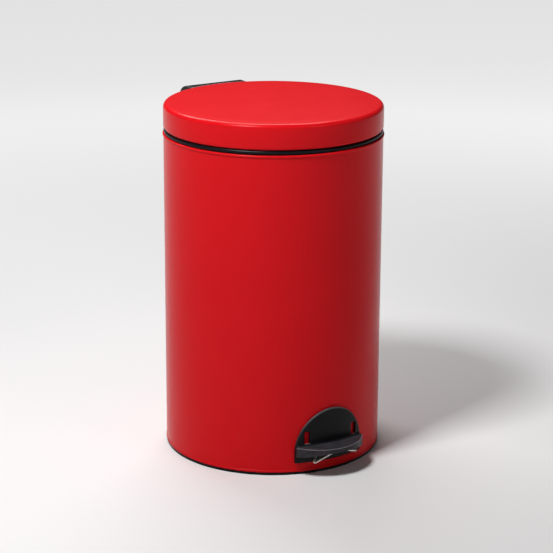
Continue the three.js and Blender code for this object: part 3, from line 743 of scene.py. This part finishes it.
def cover_moulding():
    side, top = cover_high.x, cover_high.z
    inner_side = side - COVER_WALL
    inner_reach = top - PIN.z - COVER_SKIN
    face = [(-side, PIN.z - 1), (side, PIN.z - 1)]
    face += arc((side - COVER_CORNER, top - COVER_CORNER), COVER_CORNER, 0, 90)
    face += arc((-side + COVER_CORNER, top - COVER_CORNER), COVER_CORNER, 90, 180)
    outside = combined("INTERSECT", hood(top - PIN.z, side, 125), pushed(face, 120, 185, "XZ"))
    below = block((-inner_side, 120, PIN.z - 2), (inner_side, PIN.y + inner_reach, PIN.z + 1))
    inside = combined("UNION", hood(inner_reach, inner_side, 120), below)
    front = rod(lid_radius + 2.8, (0, 0, PIN.z - 5), (0, 0, top + 1), FINE_TURN)
    shell_of_hood = combined("DIFFERENCE", outside, combined("DIFFERENCE", inside, front))
    bosses = [rod(6.3, (x, PIN.y, PIN.z), (x + COVER_WALL, PIN.y, PIN.z)) for x in (-side, inner_side)]
    lid_wall = rod(lid_radius + 0.3, (0, 0, PIN.z - 10), (0, 0, top + 1), FINE_TURN)
    body = combined("DIFFERENCE", combined("UNION", shell_of_hood, *bosses), lid_wall)
    return combined("DIFFERENCE", moulded(body, 0.7, 3), pin_bore())


# The hood's upper edges get the painted edge highlight of their finish.
piece("hinge_cover_moulding", cover_moulding(), edge_highlit_plastic, "lid", "black_plastic", "lid_hinge_cover",
      sharp=60)

# %% Hinge bracket and carrying handle
PLATE_INNER, PLATE_OUTER = 147.0, 151.0
PLATE_TOP = 428
HANDLE_HALF, HANDLE_GAP, HANDLE_BAR = 50, 39, 8.5
HANDLE_BOTTOM, HANDLE_TOP = 392, 412
HANDLE_CORNER, GAP_CORNER = 14, 6
EAR_RADIUS = 7
EAR_INNER, EAR_OUTER = 35, 41


def rounded_u(side, reach, corner):
    """The plan of the handle or of its finger gap."""
    start = 120
    plan = [(side, start)] + arc((side - corner, reach - corner), corner, 0, 90, 10)
    return plan + arc((-side + corner, reach - corner), corner, 90, 180, 10) + [(-side, start)]


def bracket_moulding():
    bottom, reach = bracket_low.z, bracket_high.y
    side = bracket_high.x
    plate = combined("INTERSECT", rod(PLATE_OUTER, (0, 0, bottom), (0, 0, PLATE_TOP), FINE_TURN),
                     block((-side, 120, bottom - 1), (side, 200, PLATE_TOP + 1)))
    grip = pushed(rounded_u(HANDLE_HALF, reach, HANDLE_CORNER), HANDLE_BOTTOM, HANDLE_TOP)
    gap = pushed(rounded_u(HANDLE_GAP, reach - HANDLE_BAR, GAP_CORNER), HANDLE_BOTTOM - 1, HANDLE_TOP + 1)
    ears = []
    for near in (-EAR_OUTER, EAR_INNER):
        far = near + EAR_OUTER - EAR_INNER
        side_view = [(142.5, PLATE_TOP - 14), (150.5, PLATE_TOP - 14), (PIN.y + 6.4, PIN.z - 2.8),
                     (PIN.y, PIN.z + 2), (PIN.y - 6.6, PIN.z - 2.3), (144.5, 439.5), (142.5, 436)]
        boss = rod(EAR_RADIUS, (near, PIN.y, PIN.z), (far, PIN.y, PIN.z))
        ears += [pushed(side_view, near, far, "YZ"), boss]
    whole = combined("UNION", plate, combined("DIFFERENCE", grip, gap), *ears)
    can = rod(PLATE_INNER, (0, 0, bottom - 1), (0, 0, PLATE_TOP + 1), FINE_TURN)
    bead = rod(shell_high.x + 0.4, (0, 0, shell_high.z - 5), (0, 0, lid_low.z - 0.5), FINE_TURN)
    body = moulded(combined("DIFFERENCE", whole, can, bead), 0.75, 3)
    return combined("DIFFERENCE", body, pin_bore())


# The bracket's upper edges get the painted edge highlight of their finish.
piece("bracket_moulding", bracket_moulding(), edge_highlit_plastic, "body", "black_plastic", "hinge_bracket",
      sharp=60)

# %% [markdown]
# The pin is a turned rivet with one head and a spring clip on the other end. The crank is a thick steel
# plate on the lid that the push rod lifts.

# %% Pin, clip and crank
clip_low, clip_high = span("pin_retainer")
pin_length = pin_high.x - pin_low.x
under_head = pin_length - 1.4
pin_outline = [(0, 0), (PIN_RADIUS - 0.4, 0), (PIN_RADIUS, 0.4), (PIN_RADIUS, under_head)]
pin_outline += [(4, under_head), (3.8, pin_length - 0.5), (3, pin_length), (0, pin_length)]
pin_start = (pin_low.x, PIN.y, PIN.z)
piece("turned_pin", turned(pin_outline, pin_start, (1, 0, 0)), zinc, "body", "zinc_steel", "hinge_pin")
clip = rod(clip_high.z - PIN.z, (clip_low.x, PIN.y, PIN.z), (clip_high.x, PIN.y, PIN.z))
piece("spring_clip", bevelled(clip, 0.4), zinc, "body", "zinc_steel", "pin_retainer")

# %% [markdown]
# ## Screws and rivets
# Every one is turned: a domed head on a shank, pushed through the sheet from inside.

# %% Fasteners
SHELL_SEAT = shell_inside - 0.7
SCREW_ANGLE = 10
BEARING_SCREW_X = 44
LUG_RIVET_X = 123.7


def fastener(head_radius, head_height, shank, length, tail=0.0):
    """Outline of a screw or rivet. The head is below zero, the shank runs up to its length."""
    turns = [math.pi / 2 * i / 6 for i in range(7)]
    dome = [(head_radius * math.sin(t), -head_height * math.cos(t)) for t in turns]
    outline = dome + [(shank, 0), (shank, length)]
    if tail:
        outline += [(tail, length), (tail * 0.9, length + 0.5), (tail * 0.6, length + 1)]
    return outline + [(0, outline[-1][1])]


def fastened(name, outline, start, direction, body, node):
    piece(name, turned(outline, start, direction), zinc, body, "zinc_steel", node)


for number, (height, side) in enumerate([(382, -1), (382, 1), (418, -1), (418, 1)], 1):
    start = outwards(side * SCREW_ANGLE, SHELL_SEAT, height)
    fastened(f"pan_head_screw_{number}", fastener(4.5, 2.2, 2.2, 4.6), start, (start.x, start.y, 0), "body",
             f"bracket_screw_{number}")
for number, angle in enumerate(RIVET_ANGLES, 1):
    start = outwards(angle, lid_radius - SHEET - 0.7, RIVET_HEIGHT)
    grip = 7.2 if angle == 0 else 4.7
    fastened(f"domed_lid_rivet_{number}", fastener(3.6, 1.6, 2, grip, 3.4), start, (start.x, start.y, 0),
             "lid", f"lid_rivet_{number}")
for side, hand in SIDES:
    start = (side * BEARING_SCREW_X, -42, span("base_pan")[1].z + 0.3)
    fastened(f"pan_screw_{hand}", fastener(4, 1.9, 2, 9), start, (0, 0, -1), "body", f"bearing_screw_{hand}")
for number, (height, side) in enumerate([(409, -1), (409, 1), (420, -1), (420, 1)], 1):
    fastened(f"domed_lug_rivet_{number}", fastener(3.4, 1.4, 1.8, 4.4, 3.2), (side * LUG_RIVET_X, 0, height),
             (side, 0, 0), "bucket", f"lug_rivet_{number}")

# %% [markdown]
# ## Bucket
# The bucket is galvanised sheet, slightly tapered so that it nests, with a rolled rim over a wire and a
# raised floor. Two swaged rings stiffen its wall. Its bail is a plain wire hoop in two lugs.

# %% Bucket
bucket_low, bucket_high = span("inner_bucket")
BASE_RADIUS, MOUTH_RADIUS = 122.5, 127.6
BUCKET_SHEET = 0.7
ROLL = 1.8
FLOOR_HEIGHT = 43.5
TAPER_FROM, TAPER_TO = 42, 427  # heights between which the wall widens
SWAGE_HEIGHTS = (120, 330)


def swage(height, depth=0.9, half_width=4):
    """A shallow ring pressed into the wall at a height: its outline from below to above."""
    wall = BASE_RADIUS + (MOUTH_RADIUS - BASE_RADIUS) * (height - TAPER_FROM) / (TAPER_TO - TAPER_FROM)
    return [(wall + depth * (1 + math.cos(math.pi * t / 6)) / 2, height + half_width * t / 6)
            for t in range(-6, 7)]


def bucket_pressing():
    foot, top = bucket_low.z, bucket_high.z
    wall = BUCKET_SHEET
    roll = (bucket_high.x - ROLL, top - ROLL)
    outline = [(0, FLOOR_HEIGHT), (BASE_RADIUS - 5.5, FLOOR_HEIGHT), (BASE_RADIUS - 4, foot + 0.3)]
    outline += [(BASE_RADIUS - 3.6, foot), (BASE_RADIUS - 1, foot)]
    outline += arc((BASE_RADIUS - 1, foot + 1), 1, -90, 0, 4)
    rings = [point for height in SWAGE_HEIGHTS for point in swage(height)]
    outline += rings + [(MOUTH_RADIUS, top - 5)]
    outline += arc(roll, ROLL, -100, 150, 14)
    outline += [(MOUTH_RADIUS - wall, top - 4)] + [(r - wall, z) for r, z in reversed(rings)]
    outline += [(BASE_RADIUS - wall - 0.4, FLOOR_HEIGHT + wall + 2)]
    outline += [(BASE_RADIUS - wall - 2, FLOOR_HEIGHT + wall), (0, FLOOR_HEIGHT + wall)]
    return spun(outline)


piece("bucket_pressing", bucket_pressing(), galvanised, "bucket", "galvanised_steel", "inner_bucket")

# %% Lugs and bail
LUG_HALF = 7
BAIL_HEIGHT = 434.6
BAIL_RADIUS = 129.0
BAIL_WIRE = 2.0
for side, hand in SIDES:
    lug_low, lug_high = span(f"bail_lug_{hand}")
    plan = [(-LUG_HALF, lug_low.z), (LUG_HALF, lug_low.z)]
    plan += arc((0, lug_high.z - LUG_HALF), LUG_HALF, 0, 180, 16)
    lug = bevelled(pushed(plan, lug_low.x, lug_high.x, "YZ"), 0.25)
    hole = rod(BAIL_WIRE + CLEARANCE, (lug_low.x - 1, 0, BAIL_HEIGHT), (lug_high.x + 1, 0, BAIL_HEIGHT))
    piece(f"lug_plate_{hand}", combined("DIFFERENCE", lug, hole), galvanised, "bucket", "galvanised_steel",
          f"bail_lug_{hand}")
hoop = [(x, y, BAIL_HEIGHT) for x, y in arc((0, 0), BAIL_RADIUS, -3, -177, 90)]
bail_path = rounded_path([(121, 0, BAIL_HEIGHT), (BAIL_RADIUS, 0, BAIL_HEIGHT), hoop[0]], 2.6)[:-1] + hoop
bail_path += rounded_path([hoop[-1], (-BAIL_RADIUS, 0, BAIL_HEIGHT), (-121, 0, BAIL_HEIGHT)], 2.6)[1:]
piece("bail_hoop", wire(bail_path, BAIL_WIRE), zinc, "bail", "zinc_steel", "bail_wire", sharp=60)

# %% [markdown]
# ## Linkage
# The tread pushes the front bow of a bent wire lever. The lever turns on an axle under the base pan and its
# rear end lifts the push rod, which lifts the crank on the lid.

# %% Lever
LEVER_WIRE = 2.0
LEVER_DIP = 4.0  # the left corner of the bow hangs lower than the right one
lever_half = [(0.8, 139, 10), (LEVER_X, 139, 10), (LEVER_X, -154, 31.4), (34, -158.5, 24)]
other_half = [(-x, y, z) for x, y, z in reversed(lever_half)]
other_half[0] = (-34, -158.5, 24 - LEVER_DIP)
lever_path = rounded_path(lever_half + [(0, -166, 35.5)] + other_half, 4)
piece("bent_lever", wire(lever_path, LEVER_WIRE), zinc, "lever", "zinc_steel", "lever_wire", sharp=60)
axle_low, axle_high = span("lever_axle")
AXLE = Vector((0, -42, 18.5))
axle = bevelled(rod(2.5, (axle_low.x, AXLE.y, AXLE.z), (axle_high.x, AXLE.y, AXLE.z)), 0.4)
piece("lever_axle_bar", axle, zinc, "lever", "zinc_steel", "lever_axle")
shoe_low, shoe_high = span("lever_shoe")
shoe = bevelled(block(shoe_low, shoe_high), 1.2, 4)
shoe = combined("DIFFERENCE", shoe, rod(LEVER_WIRE + CLEARANCE, (-20, 139, 10), (20, 139, 10)))
piece("shoe_moulding", shoe, black_plastic, "lever", "black_plastic", "lever_shoe")

# %% Bearings, guides and push rod
for side, hand in SIDES:
    low, high = span(f"lever_bearing_{hand}")
    bearing = bevelled(block(low, high), 1.0, 3)
    bore = rod(2.8, (low.x - 1, AXLE.y, AXLE.z), (high.x + 1, AXLE.y, AXLE.z))
    screw_x = side * BEARING_SCREW_X
    screw_hole = rod(2.3, (screw_x, AXLE.y, high.z - 10), (screw_x, AXLE.y, high.z + 1))
    piece(f"bearing_moulding_{hand}", combined("DIFFERENCE", bearing, bore, screw_hole), black_plastic,
          "body", "black_plastic", f"lever_bearing_{hand}")
ROD_Y = 140.5
rod_low, rod_high = span("push_rod")
push_rod = bevelled(rod(2.0, (0, ROD_Y, rod_low.z), (0, ROD_Y, rod_high.z)), 0.3)
piece("drawn_push_rod", push_rod, zinc, "push_rod", "zinc_steel", "push_rod")
low, high = span("rod_guide_upper")
guide_block = bevelled(block(low, high), 1.0, 3)
bore = rod(2.3, (0, ROD_Y, low.z - 1), (0, ROD_Y, high.z + 1))
piece("upper_guide_moulding", combined("DIFFERENCE", guide_block, bore), black_plastic, "body",
      "black_plastic", "rod_guide_upper")
low, high = span("rod_guide_lower")
bush_length = high.z - low.z
bush = [(2.3, 0), (3.3, 0), (3.3, bush_length - 1.2), (3.9, bush_length - 1.2), (3.9, bush_length - 0.3),
        (3.5, bush_length), (2.3, bush_length)]
piece("lower_guide_bush", turned(bush, (0, ROD_Y, low.z), (0, 0, 1)), black_plastic, "body", "black_plastic",
      "rod_guide_lower")
for node, name, up in (("rod_cap", "cap_moulding", 1), ("rod_foot", "foot_cap_moulding", -1)):
    low, high = span(node)
    size, deep = (high.x - low.x) / 2, high.z - low.z
    outline = [(0, deep)] + arc((size - 1, deep - 1), 1, 90, 0, 4) + [(size, 0), (2.3, 0), (2.3, deep - 1.7)]
    outline += [(0, deep - 1.7)]
    start = (0, ROD_Y, low.z if up > 0 else high.z)
    piece(name, turned(outline, start, (0, 0, up)), black_plastic, "push_rod", "black_plastic", node)

# %% [markdown]
# ## Base pan and buffers
# The pan closes the shell's bottom above the linkage: a galvanised disc with a turned-down edge and two
# shallow stiffening rings. Three rubber buffers on the ring stop the lid ringing when it falls.

# %% Base pan
pan_low, pan_high = span("base_pan")
PAN_SHEET = 1.0
RING_RADII = (60, 105)


def pan_pressing():
    top, edge, skirt = pan_high.z, pan_high.x, pan_low.z
    ridges = []
    for radius in RING_RADII:
        ridges += [(radius + t, top - 0.4 * (1 + math.cos(math.pi * t / 5)) / 2) for t in range(-5, 6)]
    under = [(r, z - PAN_SHEET + 0.3) for r, z in ridges]
    outline = [(0, top - PAN_SHEET)] + under + [(edge - 2.1, top - PAN_SHEET)]
    outline += arc((edge - 2.1, top - 2.0), 1.0, 90, 0, 4) + [(edge - 1.1, skirt), (edge, skirt)]
    outline += arc((edge - 2.1, top - 2.1), 2.1, 0, 90, 6) + list(reversed(ridges)) + [(0, top)]
    holes = [rod(3.6, (0, ROD_Y, skirt), (0, ROD_Y, top + 5))]
    holes += [rod(2.3, (side * BEARING_SCREW_X, AXLE.y, skirt), (side * BEARING_SCREW_X, AXLE.y, top + 5))
              for side, hand in SIDES]
    return combined("DIFFERENCE", spun(outline), *holes)


piece("pan_pressing", pan_pressing(), galvanised, "body", "galvanised_steel", "base_pan")

# %% Buffers
BUFFER_ANGLES = (-70, 0, 70)
for number, angle in enumerate(BUFFER_ANGLES, 1):
    buffer = bevelled(block(*span("rim_buffer_2")), 1.0, 4)
    bmesh.ops.rotate(buffer, verts=buffer.verts, cent=(0, 0, 0),
                     matrix=Matrix.Rotation(math.radians(angle), 3, "Z"))
    piece(f"buffer_{number}", buffer, rubber, "body", "black_rubber", f"rim_buffer_{number}")

# %% Crank
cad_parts["lid_crank"].material_slots[0].material = zinc
print("crank finished in", zinc.name)

# %% [markdown]
# ## Floor and light
# The can stands on a plain pale floor. Light falls off with distance, so the far part of the floor is
# given a little light of its own to keep it pale. One large soft box hangs above and to the left; a weaker
# one behind lifts the lid's far edge, and another opens up the right side.

# %% Floor
FLOOR_NEAR, FLOOR_FAR = 0.6, 2.3  # metres from the can where its own light starts and is full
FLOOR_GLOW = 0.7
FLOOR_RADIUS = 30
floor_bm = bmesh.new()
bmesh.ops.create_circle(floor_bm, cap_ends=True, segments=64, radius=FLOOR_RADIUS)
floor = as_object("floor", floor_bm)
floor_material, floor_tree, floor_place = started("pale_matt_floor")
away = add(floor_tree, "ShaderNodeVectorMath", {0: floor_place}, operation="LENGTH").outputs["Value"]
glow = add(floor_tree, "ShaderNodeMapRange", {"Value": away, "From Min": FLOOR_NEAR, "From Max": FLOOR_FAR,
                                              "To Max": FLOOR_GLOW}, interpolation_type="SMOOTHSTEP")
surfaced(floor_material, floor_tree,
         {"Base Color": linear("#E6E6E6"), "Roughness": 0.9, "Specular IOR Level": 0.0,
          "Emission Color": (1, 1, 1, 1), "Emission Strength": glow.outputs[0]})
floor.data.materials.append(floor_material)


# %% Lights
CAN_MIDDLE = Vector((0, 0, 0.25))
STUDIO_GREY = 0.05


def studio(right, towards, up):
    """A place in the studio, seen from the camera: metres to its right, towards it and up."""
    return aside * right - ahead * towards + Vector((0, 0, up))


def soft_box(name, place, size, power):
    """A rectangular soft light aimed at the can's middle."""
    lamp = bpy.data.lights.new(name, "AREA")
    lamp.shape = "RECTANGLE"
    lamp.size, lamp.size_y = size
    lamp.energy = power
    made = bpy.data.objects.new(name, lamp)
    made.location = place
    made.rotation_euler = (CAN_MIDDLE - place).to_track_quat("-Z", "Y").to_euler()
    bpy.context.scene.collection.objects.link(made)


soft_box("main_light", studio(-0.55, 0.68, 1.7), (0.34, 0.34), 27)
soft_box("back_light", studio(-0.3, -0.95, 1.4), (1.2, 0.3), 15)
soft_box("side_light", studio(1.6, 1.4, 1.6), (0.8, 0.8), 4)
world = bpy.data.worlds.new("studio")
bpy.context.scene.world = world
world.use_nodes = True
world.node_tree.nodes["Background"].inputs["Color"].default_value = (STUDIO_GREY,) * 3 + (1,)
bpy.context.scene.view_settings.view_transform = "Standard"
